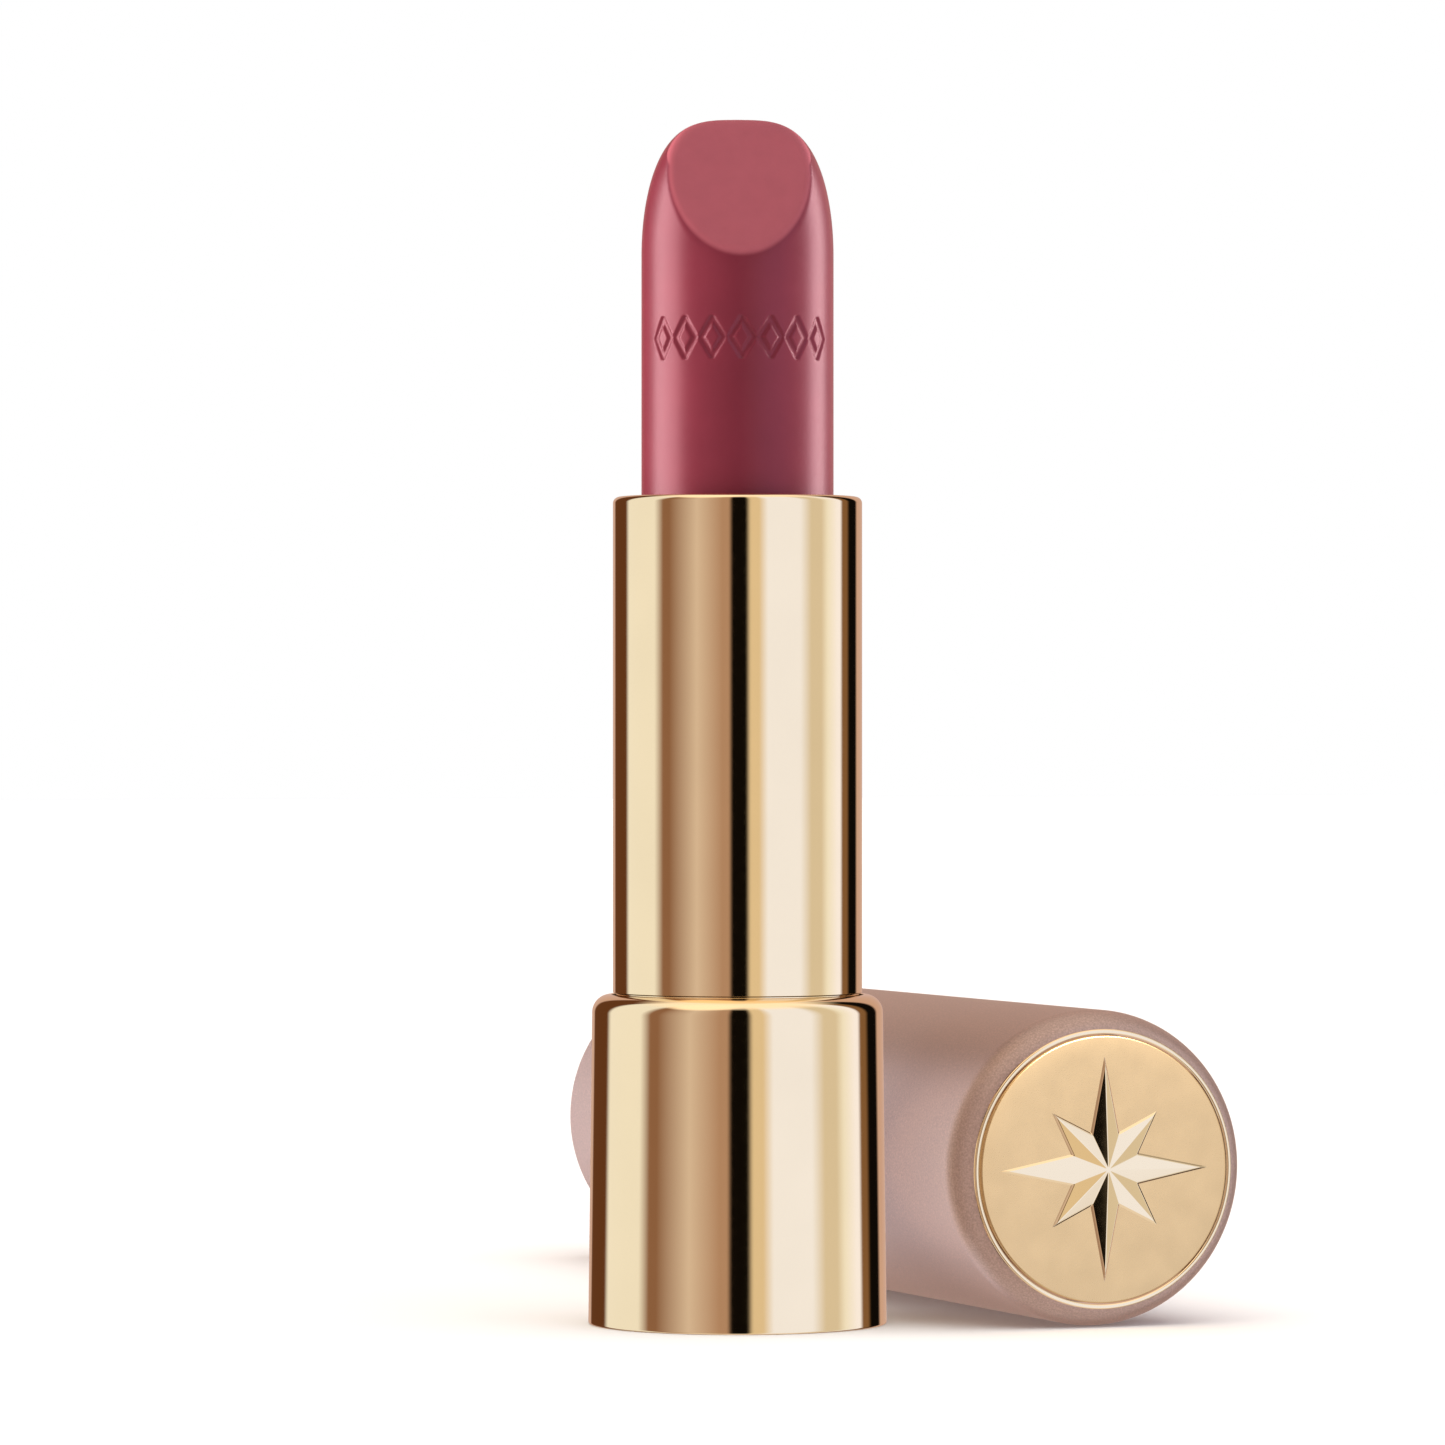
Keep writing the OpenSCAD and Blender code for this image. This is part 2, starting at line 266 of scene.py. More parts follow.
def cap_lacquer():
    """Satin metallic lacquer with a fine pearl in it, and faintly warmer clouds."""
    material = bpy.data.materials.new("cap_lacquer")
    g = Graph(material)
    pearl = g.noise(0.12, detail=3.0, roughness=0.7)
    fleck = g.ramp(pearl, [(0.34, tint(MAUVE, 0.8)), (0.5, MAUVE), (0.66, tint(MAUVE, 1.3))])
    warm = (MAUVE[0] * 1.03, MAUVE[1] * 0.99, MAUVE[2] * 0.95)
    cloud = g.varied(g.noise(7.0), 0.0, 0.35)
    return finished(g, material, {
        "Base Color": g.mix(cloud, fleck, rgba(warm)),
        "Metallic": 0.35, "Roughness": g.varied(pearl, 0.36, 0.46),
        "Coat Weight": 0.12, "Coat Roughness": 0.3, "Normal": g.bump(pearl, 0.003, 0.4)})


# Heights over the cut's plane, below zero under it, between which satin gives way to matt
CUT_FADE = (-0.16, -0.03)
# The matt look goes this much further under the plane towards the tip, growing between these heights
WIPE_DEPTH = 0.45
WIPE_Z = (72.6, 73.8)
CUT_ROUGHNESS = 0.62


def wax(cut_place, cut_normal):
    """Lipstick: satin where it was cast, matt and a little lighter where it was cut."""
    material = bpy.data.materials.new("lipstick_wax")
    g = Graph(material)
    from_cut = g.add("ShaderNodeVectorMath", {0: g.place(), 1: cut_place}, operation="SUBTRACT")
    height = g.add("ShaderNodeSeparateXYZ", {0: g.place()}, out=2)
    wiped = g.remap(height, WIPE_Z[0] * MM, WIPE_Z[1] * MM, 0.0, WIPE_DEPTH * MM, smooth=True)
    above_cut = g.math("ADD", g.dot(from_cut, cut_normal), wiped)
    cut = g.remap(above_cut, CUT_FADE[0] * MM, CUT_FADE[1] * MM, smooth=True)
    fine = g.noise(0.25, detail=3.0)
    cast_colour = g.mottled(g.noise(3.0), ROSE, 0.95, 1.05)
    cut_colour = g.mottled(g.noise(1.2), ROSE_CUT, 0.97, 1.03)
    cast_rough = g.varied(fine, 0.31, 0.37)
    rough = g.add("ShaderNodeMix", {0: cut, 2: cast_rough, 3: CUT_ROUGHNESS}, data_type="FLOAT")
    return finished(g, material, {
        "Base Color": g.mix(cut, cast_colour, cut_colour), "Roughness": rough,
        "Specular IOR Level": 0.4, "Specular Tint": (1.0, 0.55, 0.6, 1.0),
        "Subsurface Weight": 0.08, "Subsurface Radius": (0.001, 0.0004, 0.0004),
        "Subsurface Scale": 0.6, "Normal": g.bump(fine, 0.006, 0.35)})


def moulded(name, colour, rough, sheen=0.4):
    """Injection-moulded plastic with a fine spark-eroded texture."""
    material = bpy.data.materials.new(name)
    g = Graph(material)
    grain = g.noise(0.15, detail=3.0)
    return finished(g, material, {
        "Base Color": g.mottled(g.noise(4.0), colour, 0.96, 1.03),
        "Roughness": g.varied(grain, rough - 0.05, rough + 0.05),
        "Specular IOR Level": sheen, "Normal": g.bump(grain, 0.005, 0.4)})


def steel(name, stretch=None):
    """Bright steel with fine marks; a stretch, one factor an axis, squeezes them along its large axis."""
    material = bpy.data.materials.new(name)
    g = Graph(material)
    marks = g.noise(0.2, detail=4.0, stretch=stretch)
    return finished(g, material, {
        "Base Color": g.mottled(marks, STEEL, 0.9, 1.08),
        "Metallic": 1.0, "Roughness": g.varied(marks, 0.22, 0.38),
        "Normal": g.bump(marks, 0.003, 0.4)})


# ---------------------------------------------------------------- meshes

def rounded(corners, steps=6, closed=True):
    """An outline whose corners, (r, z) or (r, z, rounding radius), are rounded off by arcs."""
    points = []
    count = len(corners)
    for i, (r, z, *rounding) in enumerate(corners):
        here = Vector((r, z))
        if not rounding or (not closed and i in (0, count - 1)):
            points.append(tuple(here))
            continue
        before = (Vector(corners[i - 1][:2]) - here).normalized()
        after = (Vector(corners[(i + 1) % count][:2]) - here).normalized()
        half = before.angle(after) / 2
        centre = here + (before + after).normalized() * rounding[0] / math.sin(half)
        start = (here + before * rounding[0] / math.tan(half) - centre).normalized()
        end = (here + after * rounding[0] / math.tan(half) - centre).normalized()
        points += [tuple(centre + rounding[0] * start.slerp(end, k / steps)) for k in range(steps + 1)]
    return points


def arc(centre, rx, ry, start, end, steps=16):
    """Points on part of an ellipse, from one angle to another in degrees."""
    angles = [math.radians(start + (end - start) * k / steps) for k in range(steps + 1)]
    return [(centre[0] + rx * math.cos(a), centre[1] + ry * math.sin(a)) for a in angles]


def upright(x, y, z):
    """A point of a piece that stands on the case's own axis."""
    return Vector((x, y, z)) * MM


def in_cap(x, y, z):
    """A point drawn upright on the cap's own axis, where the lying cap has it."""
    return Vector((CAP_X + x, CAP_MOUTH_Y - z, CAP_Z + y)) * MM


def tidy(mesh, sharp_deg=35):
    """Outward normals, smooth shading, and creases only at sharp edges."""
    bm = bmesh.new()
    bm.from_mesh(mesh)
    bmesh.ops.recalc_face_normals(bm, faces=bm.faces)
    for face in bm.faces:
        face.smooth = True
    for edge in bm.edges:
        edge.smooth = edge.calc_face_angle(0) < math.radians(sharp_deg)
    bm.to_mesh(mesh)
    bm.free()


def piece(name, points, faces, material, body, replaced=(), sharp_deg=35):
    """A new object from points in metres, riding on a body."""
    mesh = bpy.data.meshes.new(name)
    mesh.from_pydata([tuple(p) for p in points], [], faces)
    tidy(mesh, sharp_deg)
    mesh.materials.append(material)
    made = bpy.data.objects.new(name, mesh)
    bpy.context.scene.collection.objects.link(made)
    weighted = made.modifiers.new("even_normals", "WEIGHTED_NORMAL")
    weighted.keep_sharp = True
    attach(made, body)
    if replaced:
        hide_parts(*replaced)
    return made


def soften(made, width_mm, segments=2, from_deg=35):
    """Rounds off the edges that turn by more than an angle."""
    bevel = made.modifiers.new("soft_edges", "BEVEL")
    bevel.width = width_mm * MM
    bevel.segments = segments
    bevel.limit_method = "ANGLE"
    bevel.angle_limit = math.radians(from_deg)


def skin(rows, closed):
    """Points and faces of rows of points, each a ring or one pole, joined up in turn."""
    points, spans, faces = [], [], []
    for row in rows:
        spans.append(range(len(points), len(points) + len(row)))
        points += row
    following = spans[1:] + (spans[:1] if closed else [])
    for a, b in zip(spans, following):
        count = max(len(a), len(b))
        for i in range(count):
            j = (i + 1) % count
            if len(a) == 1:
                faces.append((a[0], b[j], b[i]))
            elif len(b) == 1:
                faces.append((a[i], a[j], b[0]))
            else:
                faces.append((a[i], a[j], b[j], b[i]))
    return points, faces


def turned(name, outline, material, body, place=upright, replaced=(), segments=SEGMENTS):
    """A piece turned about its axis from an outline, which is open if it starts and ends on the axis."""
    solid = outline[0][0] < TINY
    rows = []
    for r, z in outline:
        if r < TINY:
            rows.append([place(0, 0, z)])
            continue
        turns = [2 * math.pi * k / segments for k in range(segments)]
        rows.append([place(r * math.cos(a), r * math.sin(a), z) for a in turns])
    points, faces = skin(rows, not solid)
    return piece(name, points, faces, material, body, replaced)


# ---------------------------------------------------------------- the base and tube

def base_sleeve(gold):
    taper = 0.25
    gap = 0.1
    wall = 0.45
    lip = 0.06
    foot_round = 0.12
    inner_round = 0.4
    edge = 0.05
    top_r = BASE_R - taper
    hole_r = TUBE_R + gap
    shoulder = top_r - hole_r - lip
    inner_top = BASE_H - wall
    outline = rounded([
        (BASE_R, 0, foot_round), (top_r, BASE_H, shoulder), (hole_r, BASE_H, lip), (hole_r, inner_top, edge),
        (top_r - wall, inner_top, inner_round), (BASE_R - wall, 0, edge)], steps=16)
    turned("base_sleeve_gold", outline, gold, "base", replaced=["base_sleeve"])


def tube_shell(gold):
    wall = 0.42
    neck_step = 0.17
    neck_r = TUBE_R - neck_step
    neck_top = BASE_H + 0.1
    neck_round = 0.04
    lip_in_r = 6.6
    lip_depth = 0.55
    rim_round = 0.4
    rim_in_round = 0.2
    edge = 0.05
    end_round = 0.06
    bottom, rim = TUBE_Z
    inner_r = TUBE_R - wall
    lip_bottom = rim - lip_depth
    outline = rounded([
        (neck_r, bottom, end_round), (neck_r, neck_top, neck_round), (TUBE_R, neck_top, edge),
        (TUBE_R, rim, rim_round), (lip_in_r, rim, rim_in_round), (lip_in_r, lip_bottom, edge),
        (inner_r, lip_bottom), (inner_r, bottom, end_round)], steps=12)
    turned("tube_shell_gold", outline, gold, "tube", replaced=["tube_shell"])


def base_foot(ivory, paper):
    """The foot's underside: the plug's rounded rim round the plain label."""
    low, high = span("base_plug", 2)
    foot_r = radius("base_plug")
    top_r = foot_r - 0.25
    label_r = radius("base_label")
    label_h = span("base_label", 2)[1]
    recess_r = label_r + 0.2
    weight_r = radius("base_weight") + 0.05
    floor_top = span("base_weight", 2)[0]
    seat = span("guide_tube", 2)[0]
    bore_r = 8.1
    recess_round = 0.12
    foot_round = 0.06
    edge = 0.1
    label_edge = 0.04
    outline = rounded([
        (0, label_h), (recess_r, label_h), (recess_r, low, recess_round), (foot_r, low, foot_round),
        (top_r, high, edge), (bore_r, high, edge), (bore_r, seat), (weight_r, seat, edge),
        (weight_r, floor_top), (0, floor_top)], closed=False)
    turned("base_foot_plug", outline, ivory, "base", replaced=["base_plug"])
    label = rounded([
        (0, 0), (label_r, 0, label_edge), (label_r, label_h, label_edge), (0, label_h)], closed=False)
    turned("base_foot_label", label, paper, "base", replaced=["base_label"])


# ---------------------------------------------------------------- the lipstick

BULLET_TOP = BULLET_Z[1]
FOOT_EDGE = 0.2
TIP_ROUND_H = 8.5
TIP_FULLNESS = 4 / 7
BODY_TOP = BULLET_TOP - TIP_ROUND_H
CORE = Vector((0, 0, 60))
CUT_H = 8.7
CUT_TILT = math.radians(60)
FRONT_TURN = math.radians(-18.5)
CUT_EDGE = 0.22

# The pressed row of open lozenges; its reach is in half-heights, and its lean turns a length along the row
# into one square to a lozenge's side
BAND_Z = 61.8
BAND_HALF_H = 1.15
BAND_REACH = 1.2
BAND_HALF_TURN = math.radians(62)
BAND_DEPTH = 0.13
BAND_LINE_W = 0.26
BAND_COUNT = 7
LOZENGE_SLIM = 2.6
LOZENGE_LEAN = 0.62

# Heights and numbers of the lipstick's rows of points, close together in the lozenges' zone and at the tip
PLAIN_ROWS_Z = (50.0, 59.9)
CLOSE_ROWS_Z = (60.2, 63.4)
CLOSE_ROWS = 44
BODY_ROWS = 16
TIP_ROWS = 108
BULLET_SEGMENTS = 560


def front_point(x, y, z):
    """A point given with the cut facing -Y, turned to where the cut really faces."""
    c, s = math.cos(FRONT_TURN), math.sin(FRONT_TURN)
    return upright(c * x - s * y, s * x + c * y, z)


def cut_plane():
    """A point on the cut and its outward normal, with the cut facing -Y, in millimetres."""
    return Vector((0, -BULLET_R, BULLET_TOP - CUT_H)), Vector((0, -math.sin(CUT_TILT), math.cos(CUT_TILT)))


def soft_min(a, b, width):
    """The lesser of two numbers, with the crease where they meet rounded over."""
    h = max(width - abs(a - b), 0.0) / width
    return min(a, b) - h * h * width / 4


def band_depth(turn, z):
    """Depth of the pressed row of open lozenges at a direction from the front and a height."""
    up = (z - BAND_Z) / BAND_HALF_H
    if abs(up) > BAND_REACH or abs(turn) > BAND_HALF_TURN:
        return 0.0
    pitch = 2 * BAND_HALF_TURN / BAND_COUNT
    along = ((turn + BAND_HALF_TURN) / pitch) % 1.0 - 0.5
    pitch_mm = pitch * BULLET_R
    outside = abs(along) * LOZENGE_SLIM + abs(up) - 1.0
    from_line_mm = abs(outside) * pitch_mm / LOZENGE_SLIM * LOZENGE_LEAN
    # Full depth within a quarter of the line's width from its middle, and none beyond three quarters
    return BAND_DEPTH * min(1.0, max(0.0, 1.5 - from_line_mm / (BAND_LINE_W / 2)))


def bullet_profile():
    """The lipstick's outline before its cut, from the middle of its foot to its tip."""
    bottom = BULLET_Z[0]
    low, high = CLOSE_ROWS_Z
    profile = [(0.0, bottom), (BULLET_R - FOOT_EDGE, bottom), (BULLET_R, bottom + FOOT_EDGE)]
    profile += [(BULLET_R, z) for z in PLAIN_ROWS_Z]
    profile += [(BULLET_R, low + (high - low) * k / CLOSE_ROWS) for k in range(CLOSE_ROWS + 1)]
    profile += [(BULLET_R, high + (BODY_TOP - high) * k / BODY_ROWS) for k in range(1, BODY_ROWS)]
    for k in range(TIP_ROWS):
        a = math.radians(90) * k / TIP_ROWS
        profile.append((BULLET_R * math.cos(a) ** TIP_FULLNESS, BODY_TOP + TIP_ROUND_H * math.sin(a)))
    return profile + [(0.0, BULLET_TOP)]


def cut_back(point, plane_point, plane_normal):
    """The point, or where the line to it from the core meets the cut if that is nearer, with a soft edge."""
    ray = point - CORE
    facing = plane_normal.dot(ray)
    if point.z <= CORE.z or facing <= TINY:
        return point
    share = plane_normal.dot(plane_point - CORE) / facing
    return CORE + ray * soft_min(1.0, share, 2 * CUT_EDGE / ray.length)


def bullet(wax_material):
    plane_point, plane_normal = cut_plane()
    rows = []
    for r, z in bullet_profile():
        if r < TINY:
            rows.append([front_point(0, 0, z)])
            continue
        row = []
        for k in range(BULLET_SEGMENTS):
            turn = 2 * math.pi * k / BULLET_SEGMENTS - math.pi
            dented_r = r - band_depth(turn, z)
            cast = Vector((dented_r * math.sin(turn), -dented_r * math.cos(turn), z))
            row.append(front_point(*cut_back(cast, plane_point, plane_normal)))
        rows.append(row)
    points, faces = skin(rows, False)
    piece("lipstick", points, faces, wax_material, "carrier", ["bullet"], sharp_deg=50)


# ---------------------------------------------------------------- the cap

SHOULDER_X = 1.9
SHOULDER_Z = 2.2
CAP_WALL = 0.6
MOUTH_WALL = 0.42
MOUTH_BAND = 19.05
BEZEL_R = (8.45, 8.75)
BEZEL_FLANGE_R = 9.0
BEZEL_FLANGE_H = 0.5
BEZEL_ROUND = 0.13


def cap_shell(lacquer):
    """The shell: a wider band inside the mouth, a straight side, and an elliptical shoulder."""
    gap = 0.01
    band_round = 0.08
    mouth_in_round = 0.12
    mouth_out_round = 0.16
    centre = (CAP_R - SHOULDER_X, BEZEL_TOP - SHOULDER_Z)
    hole_r = BEZEL_R[1] + gap
    inner_x = SHOULDER_X - CAP_WALL
    inner_z = SHOULDER_Z - CAP_WALL
    out_end = math.degrees(math.acos((hole_r - centre[0]) / SHOULDER_X))
    in_end = math.degrees(math.acos((hole_r - centre[0]) / inner_x))
    mouth_r = CAP_R - MOUTH_WALL
    inner_r = CAP_R - CAP_WALL
    mouth = rounded([
        (inner_r, MOUTH_BAND, band_round), (mouth_r, MOUTH_BAND, band_round), (mouth_r, 0, mouth_in_round),
        (CAP_R, 0, mouth_out_round), (CAP_R, centre[1])], closed=False)
    outline = mouth + arc(centre, SHOULDER_X, SHOULDER_Z, 0, out_end, 32)[1:]
    outline += arc(centre, inner_x, inner_z, in_end, 0, 16)
    turned("cap_shell_lacquered", outline, lacquer, "cap", in_cap, ["cap_shell"])


def cap_bezel(gold):
    low = CAP_MOUTH_Y - span("cap_bezel", 1)[1]
    flange_top = low + BEZEL_FLANGE_H
    outline = rounded([
        (BEZEL_R[0], low), (BEZEL_FLANGE_R, low), (BEZEL_FLANGE_R, flange_top), (BEZEL_R[1], flange_top),
        (BEZEL_R[1], BEZEL_TOP, BEZEL_ROUND), (BEZEL_R[0], BEZEL_TOP, BEZEL_ROUND)], steps=8)
    turned("cap_bezel_gold", outline, gold, "cap", in_cap, ["cap_bezel"])


FIELD_EDGE_Z = BUTTON_TOP - 0.65
FIELD_RISE = 0.04
FIELD_R = 7.0
FIELD_ROWS = 20
STAR_LONG_R = 6.5
STAR_SHORT_R = 4.7
STAR_VALLEY_R = 2.3
STAR_POINTS = 8
STAR_WALL_H = 0.15
STAR_WALL_LEAN = 0.12
STAR_EDGE_W = 0.04
STAR_EDGE_DEG = 4


def field_height(r):
    """Height of the button's slightly domed field above its edge, at a distance from its middle."""
    return FIELD_RISE * (1 - (r / BUTTON_R) ** 2)


def button_disc(satin):
    thickness = 1.05
    skirt_h = 1.5
    skirt_wall = 0.4
    edge_round = 0.14
    skirt_round = 0.06
    under_z = FIELD_EDGE_Z - thickness
    skirt_bottom = FIELD_EDGE_Z - skirt_h
    skirt_in_r = BUTTON_R - skirt_wall
    radii = [FIELD_R * k / FIELD_ROWS for k in range(FIELD_ROWS)]
    field = [(r, FIELD_EDGE_Z + field_height(r)) for r in radii]
    rim = rounded([
        (FIELD_R, FIELD_EDGE_Z + field_height(FIELD_R)), (BUTTON_R, FIELD_EDGE_Z, edge_round),
        (BUTTON_R, skirt_bottom, skirt_round), (skirt_in_r, skirt_bottom, skirt_round),
        (skirt_in_r, under_z), (0, under_z)], closed=False)
    turned("button_disc_gold", field + rim, satin, "button", in_cap, ["button_disc"])


def star_outline():
    """The star's outline going round: long points, valleys and short points."""
    corners = []
    for k in range(STAR_POINTS * 2):
        turn = math.pi * k / STAR_POINTS
        r = (STAR_LONG_R, STAR_VALLEY_R, STAR_SHORT_R, STAR_VALLEY_R)[k % 4]
        corners.append(Vector((r * math.cos(turn), r * math.sin(turn))))
    return corners


def outset(outline, distance):
    """A closed outline moved outwards by a distance, with mitred corners."""
    moved = []
    for i, here in enumerate(outline):
        before = (here - outline[i - 1]).normalized()
        after = (outline[(i + 1) % len(outline)] - here).normalized()
        normals = Vector((before.y, -before.x)), Vector((after.y, -after.x))
        moved.append(here + (normals[0] + normals[1]) * distance / (1 + normals[0].dot(normals[1])))
    return moved


def button_relief(gold):
    """A plain faceted star with steep sides and polished facets, raised from the button's field."""
    outline = star_outline()
    foot = outset(outline, 2 * STAR_WALL_LEAN)
    rows = [[in_cap(0, 0, FIELD_EDGE_Z - STAR_WALL_H)]]
    for corners, above in ((foot, -STAR_WALL_H), (outline, STAR_WALL_H)):
        row = []
        for x, y in corners:
            r = min(math.hypot(x, y), BUTTON_R)
            row.append(in_cap(x, y, FIELD_EDGE_Z + field_height(r) + above))
        rows.append(row)
    rows.append([in_cap(0, 0, BUTTON_TOP)])
    points, faces = skin(rows, False)
    made = piece("button_star_relief", points, faces, gold, "button", sharp_deg=180)
    soften(made, STAR_EDGE_W, segments=3, from_deg=STAR_EDGE_DEG)
    # The rounding comes before the even normals
    made.modifiers.move(1, 0)


RIB_COUNT = 6
RIB_Z = (30.0, 48.0)
RIB_LEAD = 1.2
RIB_HALF_W = 0.6
RIB_NOSE_STEPS = 8
RIB_REACH_R = TUBE_R + 0.02


def cap_liner(ivory):
    """The liner with its centring rings, seen down the cap's mouth."""
    inner_r = 8.05
    liner_r = 8.85
    ring_r = CAP_R - CAP_WALL - 0.05
    ring_h = 3.0
    low, high = LINER_Z
    middle = (low + high - ring_h) / 2
    edge = 0.12
    corners = [(inner_r, low, edge), (ring_r, low, edge)]
    for z in (low, middle):
        corners += [(ring_r, z + ring_h, edge), (liner_r, z + ring_h)]
        following = middle if z == low else high - ring_h
        corners += [(liner_r, following), (ring_r, following, edge)]
    corners += [(ring_r, high, edge), (inner_r, high, edge)]
    turned("cap_liner_tube", rounded(corners), ivory, "cap", in_cap, ["cap_liner"])
    for k in range(RIB_COUNT):
        liner_rib(k, ivory, inner_r)


def liner_rib(index, ivory, inner_r):
    """One of the ribs that grip the tube, with rounded nose and tapered ends, rooted in the liner's wall."""
    side_r = inner_r + 0.1
    foot_r = inner_r + 0.15
    end_r = inner_r + 0.12
    low, high = RIB_Z
    turn = 2 * math.pi * index / RIB_COUNT
    rows = []
    for z, share in ((low, 0.0), (low + RIB_LEAD, 1.0), (high - RIB_LEAD, 1.0), (high, 0.0)):
        row = []
        for k in range(RIB_NOSE_STEPS + 1):
            across = -RIB_HALF_W + 2 * RIB_HALF_W * k / RIB_NOSE_STEPS
            crown = share * (1 - (across / RIB_HALF_W) ** 4)
            row.append((side_r - crown * (side_r - RIB_REACH_R), across, z))
        rows.append(row + [(foot_r, RIB_HALF_W, z), (foot_r, -RIB_HALF_W, z)])
    c, s = math.cos(turn), math.sin(turn)
    ends = [[in_cap(c * end_r, s * end_r, z)] for z in (low, high)]
    rings = [[in_cap(c * r - s * w, s * r + c * w, z) for r, w, z in row] for row in rows]
    points, faces = skin([ends[0], *rings, ends[1]], False)
    piece(f"cap_liner_rib_{index + 1}", points, faces, ivory, "cap")


def ejector_bell(ivory):
    in_r = 6.95
    out_r = 7.9
    hub_r = 2.0
    hub_h = 1.5
    rim_round = 0.2
    shoulder = 0.3
    hub_round = 0.1
    inner_round = 0.4
    low, high = BELL_Z
    inner_top = high - hub_h
    outline = rounded([
        (in_r, low, rim_round), (out_r, low, rim_round), (out_r, high, shoulder), (hub_r, high, hub_round),
        (hub_r, inner_top, hub_round), (in_r, inner_top, inner_round)])
    turned("ejector_bell_moulded", outline, ivory, "button", in_cap, ["ejector_bell"])


def button_spring(wire):
    """The spring as one wire, with its end turns closed up."""
    coil_r = 4.2
    wire_r = 0.25
    turns = 5
    closed_turns = 0.8
    closed_pitch = 0.4
    steps = 64
    sides = 14
    outer_y, inner_y = span("button_spring", 1)
    start = CAP_MOUTH_Y - inner_y + wire_r
    end = CAP_MOUTH_Y - outer_y - wire_r
    open_height = end - start - 2 * closed_pitch * closed_turns
    rings = []
    for i in range(turns * steps + 1):
        turned_by = i / steps
        share = min(1.0, max(0.0, (turned_by - closed_turns) / (turns - 2 * closed_turns)))
        closed = min(turned_by, closed_turns) + max(0.0, turned_by - turns + closed_turns)
        middle = start + closed * closed_pitch + share * open_height
        turn = 2 * math.pi * turned_by
        ring = []
        for k in range(sides):
            b = 2 * math.pi * k / sides
            r = coil_r + wire_r * math.cos(b)
            ring.append(in_cap(r * math.cos(turn), r * math.sin(turn), middle + wire_r * math.sin(b)))
        rings.append(ring)
    points, faces = skin(rings, False)
    faces += [tuple(range(sides)), tuple(range(len(points) - sides, len(points)))]
    made = piece("button_spring_wire", points, faces, wire, "cap", ["button_spring"])
    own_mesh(made)


FOIL_S = 6.5
FOIL_HALF_H = 1.1
FOIL_HALF_W = 0.85
FOIL_PITCH = math.radians(13)
FOIL_COUNT = 7
FOIL_MIDDLE = math.radians(50)
FOIL_RADII = (CAP_R - 0.05, CAP_R + 0.02)
FOIL_SIDE_STEPS = 6


def lozenge():
    """Points round a lozenge of unit half-width and half-height."""
    corners = ((1, 0), (0, 1), (-1, 0), (0, -1), (1, 0))
    points = []
    for (ax, ay), (bx, by) in zip(corners, corners[1:]):
        for k in range(FOIL_SIDE_STEPS):
            along = k / FOIL_SIDE_STEPS
            points.append((ax + (bx - ax) * along, ay + (by - ay) * along))
    return points


def cap_foil(gold):
    """A row of small hot-foiled lozenges near the cap's mouth, in place of any name."""
    for index in range(FOIL_COUNT):
        middle = FOIL_MIDDLE + (index - (FOIL_COUNT - 1) / 2) * FOIL_PITCH
        rows = []
        for r in FOIL_RADII:
            row = []
            for across, up in lozenge():
                turn = middle + FOIL_HALF_W * across / CAP_R
                row.append(in_cap(r * math.sin(turn), r * math.cos(turn), FOIL_S + FOIL_HALF_H * up))
            rows.append(row)
        poles = [[in_cap(r * math.sin(middle), r * math.cos(middle), FOIL_S)] for r in FOIL_RADII]
        points, faces = skin([poles[0], *rows, poles[1]], False)
        piece(f"cap_foil_{index + 1}", points, faces, gold, "cap")


# ---------------------------------------------------------------- CAD nodes that stay

def dress(node, material, edge_mm=0.06):
    """Gives a CAD node its material, and softens its edges."""
    made = frame["nodes"][node]
    made.data.materials.clear()
    made.data.materials.append(material)
    for face in made.data.polygons:
        face.use_smooth = True
    weld = made.modifiers.new("joined", "WELD")
    weld.merge_threshold = 0.001 * MM
    soften(made, edge_mm)
    made.modifiers.new("even_normals", "WEIGHTED_NORMAL").keep_sharp = True


# ---------------------------------------------------------------- studio

# Light round the case: bearings in degrees from the camera towards its right, and the light from there.
# FLAG is an unlit board, which draws the dark bands in the gold.
PINK_WALL = (0.65, 0.44, 0.36)
DARK_BROWN = (0.13, 0.05, 0.02)
CREAM = (0.97, 1.04, 1.08)
BROWN = (0.29, 0.16, 0.10)
SAND = (0.74, 0.65, 0.60)
UMBER = (0.49, 0.33, 0.25)
FLAG = (0.005, 0.004, 0.003)
HONEY = (0.82, 0.72, 0.54)
WHITE = (1.0, 1.13, 1.46)
STRAW = (0.76, 0.73, 0.64)
GLOW = (1.06, 1.16, 1.48)
RUST = (0.24, 0.13, 0.06)
PANELS = (
    (-180, PINK_WALL), (-159, PINK_WALL), (-155, DARK_BROWN), (-126, DARK_BROWN), (-120, CREAM), (-83, CREAM),
    (-73, BROWN), (-66, BROWN), (-38, SAND), (-14, UMBER), (-8, UMBER), (-5, FLAG), (8, FLAG), (12, HONEY),
    (20, HONEY), (28, WHITE), (60, WHITE), (72, STRAW), (84, STRAW), (92, CREAM), (106, GLOW), (110, GLOW),
    (114, RUST), (121, RUST), (126, FLAG), (141, FLAG), (146, PINK_WALL), (180, PINK_WALL))

# Above and below the panels; the spans are sines of the heights over which each fades in
CEILING = (1.25, 1.15, 1.0)
CEILING_SPAN = (0.66, 0.96)
BELOW = (0.9, 0.86, 0.82)
BELOW_SPAN = (-0.75, -0.95)

# A brighter patch of ceiling at a bearing and height; its span is in cosines of the angle from its middle
HIGH_GLOW = (1.4, 1.25, 1.05)
HIGH_GLOW_AT = (-44, 62)
HIGH_GLOW_SPAN = (0.9, 0.985)


